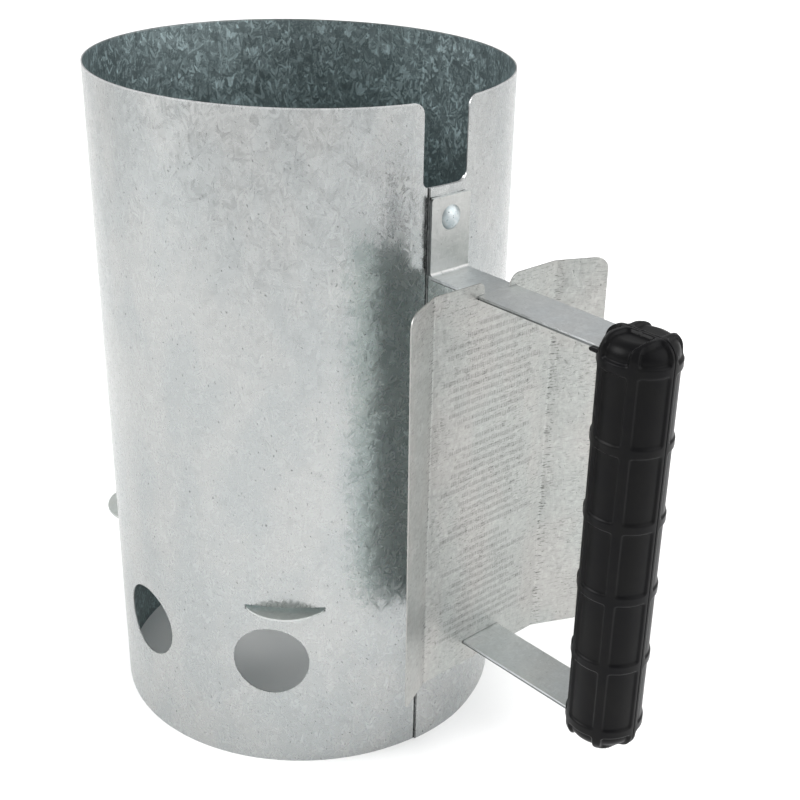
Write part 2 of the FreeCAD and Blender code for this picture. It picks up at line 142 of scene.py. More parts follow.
STRAP_LOOK = {
    "tint": (0.64, 0.67, 0.68),
    "warm_tint": (0.65, 0.67, 0.67),
    # Painted shade: the strap's cut edges are painted dark.
    "edge_tint": (0.17, 0.18, 0.18),
    "roughness": 0.42,
    "flecks": 0.08,
    # Painted shade: the strap's upright faces, which its layout marks as inner, are painted darker
    # than its flat ones.
    "inner_and_painted_light_tint": (0.43, 0.435, 0.425),
    "inner_roughness": 0.42,
    "inner_contrast": 0.08,
    "pitting": 0.25,
}
GRATE_LOOK = {
    "tint": (0.72, 0.76, 0.74),
    "warm_tint": (0.74, 0.77, 0.74),
    "edge_tint": (0.52, 0.54, 0.53),
    "roughness": 0.5,
    "flecks": 0.2,
}

# The wall, in millimetres, and where its outer layer ends, as an azimuth
LAP_DEG = -6.3
WALL_R = 95.0
WALL_TOP = 314.0

SHIELD_FOLD_Y = 35.2  # where the shield's wings begin, on each side, in millimetres

# The faint printed lines on the shield, in millimetres: only dashes, in three blocks
PRINT_TOP = 231.7
PRINT_BLOCKS = 3
PRINT_BLOCK_PITCH = 51.65
PRINT_LINES = 13
PRINT_LINE_PITCH = 3.8
PRINT_HEADING = 9.0  # half the width of a block's first line
PRINT_WIDTHS = (14.0, 30.0)  # half the width of the others
PRINT_BREAKS = ((6.0, 0.08), (1.5, 0.18))  # from one break to the next, and a break's share
PRINT_LIMIT = (0.29, 0.21)  # from a line's middle: where a dash has ended, and where it is full

# The zinc's look, in degrees and in proportions
SHARD_LEAN = 28.0  # how far a crystal's shards lean away from its spine
FLECK_LEAN = 16.0  # how far the flecks lean away from upright
FLECK_STRETCH = 3.2  # how much longer than wide a fleck is
FLECK_WANDER = 1.6  # how unevenly they lie, in millimetres


def clamp(value, low=0.0, high=1.0):
    return max(low, min(high, value))


def smooth(value):
    """0 below 0, 1 above 1, and a smooth S between."""
    value = clamp(value)
    return value * value * (3 - 2 * value)


def soft_least(first, second, width):
    """The smaller of two numbers, rounded off where they are about equal."""
    overlap = max(width - abs(first - second), 0.0) / width
    return min(first, second) - overlap * overlap * width / 4


# ---------------------------------------------------------------- camera, floor and light


def make_camera():
    """A camera looking along its yaw and pitch, turned a little about its own axis."""
    yaw, pitch, roll = (math.radians(a) for a in (CAMERA_YAW, CAMERA_PITCH, CAMERA_ROLL))
    level = math.cos(pitch)
    ahead = Vector((level * math.cos(yaw), level * math.sin(yaw), math.sin(pitch)))
    right = ahead.cross(Vector((0, 0, 1))).normalized()
    up = right.cross(ahead)
    turned_right = right * math.cos(roll) + up * math.sin(roll)
    turned_up = up * math.cos(roll) - right * math.sin(roll)
    turn = Matrix((turned_right, turned_up, -ahead)).transposed().to_4x4()
    data = bpy.data.cameras.new("camera")
    data.lens = CAMERA_LENS
    data.sensor_width = 36.0
    data.shift_x, data.shift_y = CAMERA_SHIFT
    camera = bpy.data.objects.new("camera", data)
    camera.matrix_world = Matrix.Translation(CAMERA_AT) @ turn
    bpy.context.scene.collection.objects.link(camera)
    bpy.context.scene.camera = camera


def make_floor():
    """A wide pale floor."""
    bpy.ops.mesh.primitive_plane_add(size=8.0, location=(0, 0, 0))
    floor = bpy.context.object
    floor.name = "floor"
    material = bpy.data.materials.new("floor_paper")
    material.use_nodes = True
    shader = material.node_tree.nodes["Principled BSDF"]
    shader.inputs["Base Color"].default_value = (0.9, 0.9, 0.9, 1)
    shader.inputs["Roughness"].default_value = 0.9
    shader.inputs["Specular IOR Level"].default_value = 0.1
    floor.data.materials.append(material)


def make_surround():
    """The world: an even pale surround with two soft glows, as from large diffusers."""
    world = bpy.data.worlds.new("studio")
    world.use_nodes = True
    bpy.context.scene.world = world
    tree = world.node_tree
    direction = tree.nodes.new("ShaderNodeTexCoord").outputs["Generated"]
    strength = SURROUND
    for azimuth, elevation, added, end_deg, full_deg in GLOWS:
        level = math.cos(math.radians(elevation))
        turn = math.radians(azimuth)
        rise = math.sin(math.radians(elevation))
        towards = (level * math.cos(turn), level * math.sin(turn), rise)
        nearness = tree.nodes.new("ShaderNodeVectorMath")
        nearness.operation = "DOT_PRODUCT"
        nearness.inputs[1].default_value = towards
        tree.links.new(direction, nearness.inputs[0])
        glow = tree.nodes.new("ShaderNodeMapRange")
        glow.interpolation_type = "SMOOTHSTEP"
        tree.links.new(nearness.outputs["Value"], glow.inputs[0])
        glow.inputs[1].default_value = math.cos(math.radians(end_deg))
        glow.inputs[2].default_value = math.cos(math.radians(full_deg))
        glow.inputs[4].default_value = added
        total = tree.nodes.new("ShaderNodeMath")
        tree.links.new(glow.outputs[0], total.inputs[0])
        if isinstance(strength, float):
            total.inputs[1].default_value = strength
        else:
            tree.links.new(strength, total.inputs[1])
        strength = total.outputs[0]
    tree.links.new(strength, tree.nodes["Background"].inputs["Strength"])
    tree.nodes["Background"].inputs["Color"].default_value = (1, 1, 1, 1)


def make_light():
    """Soft boxes that light the floor but don't show in the metal, and plain tones."""
    for name, (azimuth, distance, height, width, power) in SOFTBOXES.items():
        data = bpy.data.lights.new(name, "AREA")
        data.shape = "SQUARE"
        data.size = width
        data.energy = power
        light = bpy.data.objects.new(name, data)
        turn = math.radians(azimuth)
        light.location = (distance * math.cos(turn), distance * math.sin(turn), height)
        light.visible_camera = False
        light.visible_glossy = False
        bpy.context.scene.collection.objects.link(light)
    bpy.context.scene.view_settings.view_transform = "Standard"


# ---------------------------------------------------------------- short calls for materials


class Nodes:
    """One material's node tree. Lengths given to it are in millimetres on the surface."""

    def __init__(self, name):
        self.material = bpy.data.materials.new(name)
        self.material.use_nodes = True
        self.tree = self.material.node_tree
        self.shader = self.tree.nodes["Principled BSDF"]

    def put(self, socket, value):
        """Links an output to a socket, or sets the socket to a constant."""
        if isinstance(value, bpy.types.NodeSocket):
            self.tree.links.new(value, socket)
        else:
            socket.default_value = value

    def add(self, kind, inputs=(), **settings):
        """A new node, with its settings and its inputs by name or place."""
        node = self.tree.nodes.new("ShaderNode" + kind)
        for key, value in settings.items():
            setattr(node, key, value)
        for key, value in dict(inputs).items():
            self.put(node.inputs[key], value)
        return node

    def math(self, operation, *values):
        inputs = dict(enumerate(values))
        return self.add("Math", inputs, operation=operation).outputs[0]

    def vector(self, operation, first, second):
        inputs = {0: first, 1: second}
        return self.add("VectorMath", inputs, operation=operation).outputs[0]

    def split(self, vector):
        return self.add("SeparateXYZ", {0: vector}).outputs

    def join(self, x=0.0, y=0.0, z=0.0):
        return self.add("CombineXYZ", {0: x, 1: y, 2: z}).outputs[0]

    def millimetres(self):
        """Where the surface point is in the object's own frame."""
        place = self.add("TexCoord").outputs["Object"]
        return self.vector("MULTIPLY", place, (1 / MM,) * 3)

    def noise(self, place, length, detail=2.0, roughness=0.5, kind="3D"):
        inputs = {"Vector": place, "Scale": 1 / length, "Detail": detail, "Roughness": roughness}
        return self.add("TexNoise", inputs, noise_dimensions=kind)

    def remap(self, value, low, high, to_low=0.0, to_high=1.0):
        """Moves low..high to to_low..to_high with smooth ends."""
        inputs = {0: value, 1: low, 2: high, 3: to_low, 4: to_high}
        return self.add("MapRange", inputs, interpolation_type="SMOOTHSTEP").outputs[0]

    def blend(self, amount, first, second):
        """A colour between two colours."""
        node = self.add("Mix", {"Factor": amount}, data_type="RGBA")
        self.put(node.inputs[6], first)
        self.put(node.inputs[7], second)
        return node.outputs[2]

    def shade(self, color, factor):
        """A colour times a factor."""
        node = self.add("VectorMath", {0: color, "Scale": factor}, operation="SCALE")
        return node.outputs[0]

    def turned(self, vector, angle):
        """A vector turned about Z."""
        inputs = {"Vector": vector, "Angle": angle}
        return self.add("VectorRotate", inputs, rotation_type="Z_AXIS").outputs[0]

    def stretched(self, vector, x, y, z=1.0):
        """A vector in units of x, y and z millimetres."""
        return self.vector("DIVIDE", vector, (x, y, z))

    def relief(self, height, depth, below=None):
        """A bump whose full height is depth millimetres."""
        inputs = {"Height": height, "Distance": depth * MM, "Strength": 1.0}
        node = self.add("Bump", inputs)
        if below is not None:
            self.put(node.inputs["Normal"], below)
        return node.outputs["Normal"]

    def tilted(self, normal, lot, amount):
        """A normal tipped at random: lot is three random numbers from 0 to 1."""
        tip = self.shade(self.vector("SUBTRACT", lot, (0.5,) * 3), amount)
        tipped = self.vector("ADD", normal, tip)
        return self.add("VectorMath", {0: tipped}, operation="NORMALIZE").outputs[0]

    def finish(self, color, roughness, normal=None, metallic=1.0):
        self.put(self.shader.inputs["Base Color"], color)
        self.put(self.shader.inputs["Roughness"], roughness)
        self.put(self.shader.inputs["Metallic"], metallic)
        if normal is not None:
            self.put(self.shader.inputs["Normal"], normal)
        return self.material


def color(red, green, blue):
    return (red, green, blue, 1.0)


# ---------------------------------------------------------------- galvanized sheet


class Layout:
    """Flat coordinates on a sheet, and masks: its cut edges, its inner faces, and where shade is
    painted.
    """

    def __init__(self, flat, cut, inner=0.0, painted_shade=0.0):
        self.flat = flat
        self.cut = cut
        self.inner = inner
        self.painted_shade = painted_shade


def wall_layout(n):
    """The wall unrolled: along the sheet, and up. The seam is where the outer layer ends."""
    x, y, z = n.split(n.millimetres())
    angle = n.math("ARCTAN2", y, x)
    start = math.radians(LAP_DEG)
    unrolled = n.math("WRAP", angle, start + 2 * math.pi, start)
    normal_x, normal_y, _ = n.split(n.add("TexCoord").outputs["Normal"])
    outward = n.math("MULTIPLY", normal_x, n.math("DIVIDE", x, WALL_R))
    outward = n.math("MULTIPLY_ADD", normal_y, n.math("DIVIDE", y, WALL_R), outward)
    inner = n.remap(outward, 0.3, -0.3)
    cut = n.remap(n.math("ABSOLUTE", outward), 0.7, 0.3)
    along = n.math("MULTIPLY", unrolled, WALL_R)
    first, last = start * WALL_R, (start + 2 * math.pi) * WALL_R
    off_seam = n.math("MINIMUM", n.math("SUBTRACT", along, first), n.math("SUBTRACT", last, along))
    # Painted shadow: a strip on the outer face within about half a millimetre of the seam, where
    # the outer layer ends.
    seam = n.math("MULTIPLY", n.remap(off_seam, 0.7, 0.4), n.math("SUBTRACT", 1.0, inner))
    # Painted highlight: the outer wall's top 0.8 mm takes up to half the pale edge colour, as a
    # bright line along the rim.
    painted_rim_highlight = n.remap(z, WALL_TOP - 0.8, WALL_TOP - 0.4, 0.0, 0.5)
    cut = n.math("MAXIMUM", cut, painted_rim_highlight)
    return Layout(n.join(along, z, 0.0), cut, inner, seam)


def shield_layout(n):
    """A sheet that faces along X: across, and up. Its cut edges face up, down or sideways."""
    _, y, z = n.split(n.millimetres())
    normal_x, normal_y, normal_z = n.split(n.add("TexCoord").outputs["Normal"])
    upward = n.remap(n.math("ABSOLUTE", normal_z), 0.3, 0.7)
    sideways = n.remap(n.math("ABSOLUTE", normal_y), 0.68, 0.78)
    cut = n.math("MAXIMUM", upward, sideways)
    return Layout(n.join(y, z, 0.0), cut, n.remap(normal_x, 0.1, -0.1))


def printed_dashes(n, flat):
    """Rows of dashes: 1 on a dash and 0 off it. Each row has its own length and breaks."""
    across, up, _ = n.split(flat)
    blocks_down = n.math("DIVIDE", n.math("SUBTRACT", PRINT_TOP, up), PRINT_BLOCK_PITCH)
    block = n.math("FLOOR", blocks_down)
    within = n.math("MULTIPLY", n.math("FRACT", blocks_down), PRINT_BLOCK_PITCH / PRINT_LINE_PITCH)
    line = n.math("FLOOR", within)
    key = n.math("MULTIPLY_ADD", block, 31.0, line)
    lot = n.add("TexWhiteNoise", {"W": key}, noise_dimensions="1D").outputs["Value"]
    narrow, wide = PRINT_WIDTHS
    half_width = n.math("MULTIPLY_ADD", lot, wide - narrow, narrow)
    is_heading = n.math("LESS_THAN", line, 0.5)
    shorter = n.math("MULTIPLY", is_heading, n.math("SUBTRACT", half_width, PRINT_HEADING))
    half_width = n.math("SUBTRACT", half_width, shorter)
    on = 1.0
    for length, gap in PRINT_BREAKS:
        place = n.math("MULTIPLY_ADD", key, 7.7, n.math("DIVIDE", across, length))
        inputs = {"W": place}
        breaks = n.add("TexVoronoi", inputs, voronoi_dimensions="1D", feature="DISTANCE_TO_EDGE")
        apart = n.remap(breaks.outputs["Distance"], gap, gap * 1.6)
        on = n.math("MULTIPLY", on, apart)
    off_middle = n.math("ABSOLUTE", n.math("SUBTRACT", n.math("FRACT", within), 0.5))
    for limit in (
        n.remap(off_middle, *PRINT_LIMIT),
        n.math("LESS_THAN", n.math("ABSOLUTE", across), half_width),
        n.math("LESS_THAN", line, PRINT_LINES - 0.5),
        n.math("LESS_THAN", n.math("ABSOLUTE", n.math("SUBTRACT", block, 1.0)), PRINT_BLOCKS / 2),
    ):
        on = n.math("MULTIPLY", on, limit)
    return on


def strap_layout(n):
    """A bar bent along X and Z, and flat along Y. Its cut edges face along Y.

    Its cut edges are painted dark, as painted shade, except near an arm's top, where the edge
    is painted as pale as the faces: a painted highlight as on a rounded-over edge. The upright
    faces are the inner ones, and their darker tint is painted shade.
    """
    x, y, z = n.split(n.millimetres())
    normal_x, normal_y, _ = n.split(n.add("TexCoord").outputs["Normal"])
    cut = n.remap(n.math("ABSOLUTE", normal_y), 0.3, 0.7)
    # Near each arm's top the painted shade on the edge drops to a fifth, so the edge takes the
    # faces' colour there: a painted highlight as on a rounded-over edge.
    for _, top in (UPPER_ARM_Z, LOWER_ARM_Z):
        below_top = n.math("ABSOLUTE", n.math("SUBTRACT", z, top))
        cut = n.math("MULTIPLY", cut, n.remap(below_top, 0.55, 0.8, 0.2, 1.0))
    # The upright faces are marked as inner, so they take the darker inner tint: painted shade.
    upright = n.remap(n.math("ABSOLUTE", normal_x), 0.3, 0.9)
    return Layout(n.join(n.math("ADD", x, z), y, 0.0), cut, upright)


def grate_layout(n):
    """A disc seen from above: its cut edges face sideways."""
    x, y, _ = n.split(n.millimetres())
    normal_z = n.split(n.add("TexCoord").outputs["Normal"])[2]
    cut = n.remap(n.math("ABSOLUTE", normal_z), 0.7, 0.3)
    return Layout(n.join(x, y, 0.0), cut)


def crystals(n, flat, grain, shard_w, shard_l, turn_deg):
    """Zinc crystals. Each grain is a bunch of narrow shards that lean away from its spine.

    Gives a lot for the grain and one for the shard, each three random numbers from 0 to 1.
    """
    wander = n.noise(flat, grain * 0.35, 2.0, 0.6, "2D").outputs["Color"]
    wander = n.shade(n.vector("SUBTRACT", wander, (0.5, 0.5, 0.5)), grain * 0.9)
    strayed = n.vector("ADD", flat, wander)
    grains = n.add("TexVoronoi", {"Vector": strayed, "Scale": 1 / grain}, voronoi_dimensions="2D")
    lot, other_lot, _ = n.split(grains.outputs["Color"])
    local = n.vector("SUBTRACT", flat, grains.outputs["Position"])
    turn = n.math("MULTIPLY", n.math("SUBTRACT", lot, 0.5), math.radians(2 * turn_deg))
    across, along, _ = n.split(n.turned(local, turn))
    folded = n.join(n.math("ABSOLUTE", across), along, 0.0)
    leaning = n.turned(folded, math.radians(SHARD_LEAN))
    apart = n.join(n.math("MULTIPLY", other_lot, 300.0), n.math("MULTIPLY", lot, 500.0))
    leaning = n.vector("ADD", leaning, apart)
    jag = n.noise(leaning, shard_w * 1.5, 1.0, 0.5, "2D").outputs["Color"]
    jag = n.shade(n.vector("SUBTRACT", jag, (0.5, 0.5, 0.5)), shard_w * 0.8)
    leaning = n.stretched(n.vector("ADD", leaning, jag), shard_w, shard_l)
    shards = n.add("TexVoronoi", {"Vector": leaning, "Scale": 1.0}, voronoi_dimensions="2D")
    return grains.outputs["Color"], shards.outputs["Color"]


def specks(n, flat, spacing, length, share):
    """Small dark slanted flecks, 1 in them and 0 between. Share is how many cells have one."""
    wander = n.noise(flat, 2.0, 1.0, 0.5, "2D").outputs["Color"]
    strayed = n.vector("ADD", flat, n.shade(wander, FLECK_WANDER))
    slanted = n.turned(strayed, math.radians(-FLECK_LEAN))
    slanted = n.stretched(slanted, 1.0, FLECK_STRETCH)
    inputs = {"Vector": slanted, "Scale": 1 / spacing}
    cells = n.add("TexVoronoi", inputs, voronoi_dimensions="2D")
    lot = n.split(cells.outputs["Color"])[0]
    reach = n.remap(lot, 1 - share, 1.0, 0.0, length / 2 / spacing)
    nearness = n.math("SUBTRACT", reach, cells.outputs["Distance"])
    return n.remap(nearness, 0.0, 0.02)


def galvanized(name, layout_of, look):
    """Hot-dip galvanized sheet: crystals, cloudy tone, faint rolling lines and dark flecks."""
    n = Nodes(name)
    layout = layout_of(n)
    flat = layout.flat
    grain_lot, shard_lot = crystals(n, flat, grain=6.0, shard_w=0.9, shard_l=4.2, turn_deg=50.0)
    elsewhere = n.vector("ADD", flat, (41.0, 17.0, 0.0))
    small_lot = crystals(n, elsewhere, grain=3.6, shard_w=0.6, shard_l=2.6, turn_deg=70.0)[1]
    lines = n.noise(n.stretched(flat, 0.5, 5.0), 1.0, 3.0, 0.6, "2D").outputs[0]
    rubs = n.noise(n.stretched(flat, 7.0, 0.4), 1.0, 2.0, 0.5, "2D").outputs[0]
    clouds = n.noise(n.stretched(flat, 26.0, 50.0), 1.0, 3.0, 0.55, "2D").outputs[0]
    patches = n.noise(flat, 8.0, 2.0, 0.5, "2D").outputs[0]
    fleck = specks(n, flat, spacing=1.9, length=0.38, share=0.5)

    shard = n.remap(n.split(shard_lot)[0], 0.5, 1.0)
    shard = n.math("MULTIPLY", shard, n.remap(n.split(grain_lot)[2], 0.0, 0.7, 0.5, 1.0))
    shard = n.math("MULTIPLY_ADD", n.remap(n.split(small_lot)[0], 0.6, 1.0), 0.5, shard)
    contrast = 0.08
    roughness = look["roughness"]
    tone = n.blend(n.remap(clouds, 0.35, 0.65), color(*look["tint"]), color(*look["warm_tint"]))
    if "inner_and_painted_light_tint" in look:
        inner = layout.inner
        contrast = n.math("MULTIPLY_ADD", inner, look["inner_contrast"] - contrast, contrast)
        # On the shield's back this is painted light, and on the strap's upright faces painted
        # shade; on the wall it is the inside's own tone.
        tone = n.blend(inner, tone, color(*look["inner_and_painted_light_tint"]))
        roughness = n.math("MULTIPLY_ADD", inner, look["inner_roughness"] - roughness, roughness)
    factor = n.math("MULTIPLY_ADD", n.math("SUBTRACT", shard, 0.4), contrast, 1.0)
    factor = n.math("MULTIPLY_ADD", n.math("SUBTRACT", lines, 0.5), 0.08, factor)
    factor = n.math("MULTIPLY_ADD", n.remap(rubs, 0.6, 0.75), 0.05, factor)
    factor = n.math("MULTIPLY_ADD", n.remap(patches, 0.62, 0.78), -0.06, factor)
    factor = n.math("MULTIPLY_ADD", n.math("SUBTRACT", clouds, 0.5), 0.08, factor)
    factor = n.math("MULTIPLY_ADD", fleck, -look["flecks"], factor)
    relief = n.math("MULTIPLY_ADD", fleck, -1.0, lines)
    if "pitting" in look:
        factor, relief = pitted(n, flat, factor, relief, look["pitting"])
    if "marks" in look:
        on_front = n.math("SUBTRACT", 1.0, layout.inner)
        marks = n.math("MULTIPLY", look["marks"](n, flat), on_front)
        factor = n.math("MULTIPLY_ADD", marks, -0.38, factor)
    # Painted shade: darkens the tone along the layout's shade mask, which on the wall is a strip
    # beside the seam.
    factor = n.math("MULTIPLY_ADD", layout.painted_shade, -0.75, factor)
    # The edge colour carries painted light: a painted highlight along the wall's rim and edges, and
    # painted shade on the strap's cut edges.
    tone = n.blend(layout.cut, n.shade(tone, factor), color(*look["edge_tint"]))
    gloss = n.math("MULTIPLY_ADD", n.math("SUBTRACT", shard, 0.5), 0.06, roughness)
    gloss = n.math("MULTIPLY_ADD", fleck, 0.25, gloss)
    normal = n.relief(relief, 0.03)
    normal = n.tilted(normal, grain_lot, 0.05)
    normal = n.tilted(normal, shard_lot, 0.11)
    return n.finish(tone, gloss, normal)


def pitted(n, flat, factor, relief, amount):
    """A rougher sheet: soft blotches with dark rims, and short dark streaks across it."""
    blotch = n.noise(flat, 2.2, 2.0, 0.5, "2D").outputs[0]
    rim = n.remap(n.math("ABSOLUTE", n.math("SUBTRACT", blotch, 0.57)), 0.05, 0.0)
    where = n.noise(flat, 26.0, 2.0, 0.6, "2D").outputs[0]
    rim = n.math("MULTIPLY", rim, n.remap(where, 0.40, 0.60, 0.3, 1.0))
    off_fold = n.math("SUBTRACT", n.math("ABSOLUTE", n.split(flat)[0]), SHIELD_FOLD_Y + 1.5)
    by_fold = n.remap(n.math("ABSOLUTE", off_fold), 3.0, 1.0)
    where = n.math("MAXIMUM", n.remap(where, 0.35, 0.6, 0.4, 1.0), n.math("MULTIPLY", by_fold, 2.0))
    streak = n.noise(n.stretched(flat, 3.4, 0.7), 1.0, 2.0, 0.6, "2D").outputs[0]
    streak = n.math("MULTIPLY", n.remap(streak, 0.56, 0.70), where)
    factor = n.math("MULTIPLY_ADD", n.math("SUBTRACT", blotch, 0.5), 0.34 * amount, factor)
    factor = n.math("MULTIPLY_ADD", rim, -0.16 * amount, factor)
    factor = n.math("MULTIPLY_ADD", streak, -0.32 * amount, factor)
    return factor, n.math("MULTIPLY_ADD", blotch, 2.0 * amount, relief)


# ---------------------------------------------------------------- plastic and small metal


def black_plastic():
    """Black moulded plastic: a fine satin grain, polished a little where a hand rubs."""
    n = Nodes("grip_plastic")
    place = n.millimetres()
    grain = n.noise(place, 0.35, 2.0, 0.5).outputs[0]
    cloud = n.noise(place, 14.0, 3.0, 0.6).outputs[0]
    raised = n.add("Attribute", attribute_name="raised").outputs["Fac"]
    dark, pale = color(0.002, 0.002, 0.0025), color(0.0035, 0.0035, 0.0035)
    tone = n.blend(n.remap(cloud, 0.3, 0.7), dark, pale)
    tone = n.shade(tone, n.math("MULTIPLY_ADD", raised, 0.3, 1.0))
    gloss = n.math("MULTIPLY_ADD", n.math("SUBTRACT", cloud, 0.5), 0.10, 0.36)
    gloss = n.math("MULTIPLY_ADD", raised, -0.04, gloss)
    n.put(n.shader.inputs["Specular IOR Level"], 0.095)
    return n.finish(tone, gloss, n.relief(grain, 0.008), metallic=0.0)


def rivet_metal():
    """Dull pale rivet metal with a few dark pits, and painted shade round the head's sloping edge,
    where it meets the strap.
    """
    n = Nodes("rivet_metal")
    place = n.millimetres()
    mottle = n.noise(place, 1.6, 3.0, 0.6).outputs[0]
    pit = n.remap(n.noise(place, 1.3, 1.0, 0.5).outputs[0], 0.64, 0.72)
    normal_x = n.split(n.add("TexCoord").outputs["Normal"])[0]
    # Painted shade: the head's sloping edge is darkened, as shade where it meets the strap.
    painted_shade = n.remap(normal_x, 0.92, 0.6)
    tone = n.blend(n.remap(mottle, 0.35, 0.65), color(0.44, 0.50, 0.52), color(0.54, 0.57, 0.58))
    tone = n.blend(pit, tone, color(0.12, 0.16, 0.16))
    tone = n.blend(painted_shade, tone, color(0.14, 0.16, 0.16))
    return n.finish(tone, 0.42, n.relief(mottle, 0.02))


def screw_steel():
    """Zinc-plated screw."""
    n = Nodes("screw_steel")
    mottle = n.noise(n.millimetres(), 0.8, 2.0, 0.5).outputs[0]
    tone = n.blend(mottle, color(0.38, 0.39, 0.40), color(0.52, 0.52, 0.50))
    return n.finish(tone, 0.38, n.relief(mottle, 0.01))


def dress_cad_nodes():
    """Gives each CAD node that stays visible its material."""
    wall = galvanized("galvanized_sheet", wall_layout, WALL_LOOK)
    grate = galvanized("grate_sheet", grate_layout, GRATE_LOOK)
    shield = galvanized("shield_sheet", shield_layout, {**SHIELD_LOOK, "marks": printed_dashes})
    strap = galvanized("strap_steel", strap_layout, STRAP_LOOK)
    rivets = rivet_metal()
    screws = screw_steel()
    worn = {
        "chimney_body": wall,
        "charcoal_grate": grate,
        "heat_shield": shield,
        "handle_strap": strap,
        "upper_rivet": rivets,
        "lower_rivet": rivets,
        "upper_grip_screw": screws,
        "lower_grip_screw": screws,
    }
    for name, material in worn.items():
        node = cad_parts[name]
        node.data.materials.clear()
        node.data.materials.append(material)


# ---------------------------------------------------------------- the grip


def stations(centres, half_width, low, high, fill):
    """Places from low to high: close together on each rib's slopes, and fill in each gap."""
    near = {low, high}
    for centre in centres:
        for step in SLOPE_STATIONS:
            near.add(centre - half_width * step)
            near.add(centre + half_width * step)
    near = sorted(place for place in near if low <= place <= high)
    places = []
    for first, second in zip(near, near[1:]):
        parts = max(1, math.ceil((second - first) / fill - 1e-6))
        places += [first + (second - first) * part / parts for part in range(parts)]
    return places + [high]


def plan_distance(x, y, start, end):
    """How far a point on the grip's end is from the straight line between two others."""
    run_x, run_y = end[0] - start[0], end[1] - start[1]
    share = clamp(((x - start[0]) * run_x + (y - start[1]) * run_y) / (run_x**2 + run_y**2))
    return math.hypot(x - start[0] - run_x * share, y - start[1] - run_y * share)


def end_ribs(radius):
    """The raised lines on each end of the grip: a bar, and three ribs from each of its ends."""
    back, front = JUNCTIONS_X
    lines = [((back, 0.0), (front, 0.0))]
    for rib in range(GRIP_RIBS):
        angle = 2 * math.pi * rib / GRIP_RIBS
        tip = (radius * math.cos(angle), radius * math.sin(angle))
        lines.append(((front if tip[0] > 0 else back, 0.0), tip))
    return lines


class GripShape:
    """The grip's outer surface, in millimetres about its own axis, from its lower end up."""

    def __init__(self, radius, length):
        self.radius = radius
        self.length = length
        self.rings = [GRIP_FIRST_RING + GRIP_RING_PITCH * ring for ring in range(GRIP_RINGS)]
        self.lines = end_ribs(radius)

    def meridian(self):
        """Up the outline: distance from the axis, height, and the outward direction."""
        flat_r = self.radius - GRIP_END_R
        disc = [(flat_r * step / BEND_STEPS, 0.0, 0.0, -1.0) for step in range(BEND_STEPS)]
        bend = []
        for step in range(BEND_STEPS + 1):
            angle = math.pi / 2 * step / BEND_STEPS
            out, down = math.sin(angle), math.cos(angle)
            bend.append((flat_r + GRIP_END_R * out, GRIP_END_R * (1 - down), out, -down))
        end = disc + bend
        low, high = GRIP_END_R, self.length - GRIP_END_R
        side = stations(self.rings, GRIP_RING_H / 2, low, high, SIDE_FILL)
        side = [(self.radius, z, 1.0, 0.0) for z in side[1:-1]]
        top = [(r, self.length - z, out, -down) for r, z, out, down in reversed(end)]
        return end + side + top

    def azimuths(self):
        """Across one half, from the parting plane to the parting plane."""
        pitch = math.pi * self.radius / 3
        centres = [pitch * rib for rib in range(4)]
        places = stations(centres, GRIP_RIB_W / 2, 0.0, 3 * pitch, TURN_FILL)
        for chamfer_step in (0.12, 0.25):
            places += [chamfer_step, 3 * pitch - chamfer_step]
        return [place / self.radius for place in sorted(places)]

    def raised(self, azimuth, r, z):
        """How far inside a panel's or a pad's edge a point is, and which of the two it is."""
        pitch = 2 * math.pi / GRIP_RIBS
        off_rib = abs((azimuth + pitch / 2) % pitch - pitch / 2)
        side_rib = self.radius * off_rib - GRIP_RIB_W / 2
        first, last = self.rings[0], self.rings[-1]
        if first <= z <= last:
            off_ring = min(abs(z - ring) for ring in self.rings)
            return soft_least(side_rib, off_ring - GRIP_RING_H / 2, GRIP_CORNER), PANEL_DEPTH
        beyond = first - z if z < first else z - last
        flat_r = self.radius - GRIP_END_R
        if r < self.radius:
            beyond += self.radius - r
        x, y = r * math.cos(azimuth), r * math.sin(azimuth)
        near = self.radius
        for start, end in self.lines:
            near = soft_least(near, plan_distance(x, y, start, end), GRIP_CORNER)
        towards_side = smooth((r - flat_r - 3.0) / (GRIP_END_R - 3.0))
        rib = near - END_RIB_W / 2
        rib += (side_rib - rib) * towards_side
        return soft_least(rib, beyond - GRIP_RING_H / 2, GRIP_CORNER), PAD_DEPTH

    def point(self, azimuth, row):
        """The surface point on one row of the outline, and how raised it is, from 0 to 1."""
        r, z, out, up = row
        inside, depth = self.raised(azimuth, r, z)
        sunk = smooth(inside / GRIP_SLOPE_W + 0.5)
        chamfer = PARTING_CHAMFER * (1 - smooth(r * abs(math.sin(azimuth)) / PARTING_CHAMFER))
        depth = depth * sunk + chamfer * (1 - sunk)
        r = max(r - depth * out, 0.0)
        return Vector((r * math.cos(azimuth), r * math.sin(azimuth), z - depth * up)), 1 - sunk

    def lining(self):
        """Up the hollow's outline: distance from the axis and height."""
        radius = self.radius - GRIP_WALL
        flat_r = radius - HOLLOW_BEND_R
        low = [(0.0, GRIP_WALL), (flat_r / 2, GRIP_WALL)]
        for step in range(7):
            angle = math.pi / 2 * step / 6
            r = flat_r + HOLLOW_BEND_R * math.sin(angle)
            low.append((r, GRIP_WALL + HOLLOW_BEND_R * (1 - math.cos(angle))))
        return low + [(r, self.length - z) for r, z in reversed(low)]


def surface_grid(mesh, rows, columns, point_at, flip):
    """A patch of quads over rows and columns. Rows that start or end on the axis close there."""
    grid = []
    for row in rows:
        on_axis = row[0] == 0.0
        line = []
        for column in columns:
            if on_axis and line:
                line.append(line[0])
            else:
                line.append(mesh.verts.new(point_at(row, column)))
        grid.append(line)
    for lower, upper in zip(grid, grid[1:]):
        for left in range(len(columns) - 1):
            corners = [lower[left], lower[left + 1], upper[left + 1], upper[left]]
            corners = list(dict.fromkeys(corners))
            mesh.faces.new(corners[::-1] if flip else corners)
    return grid


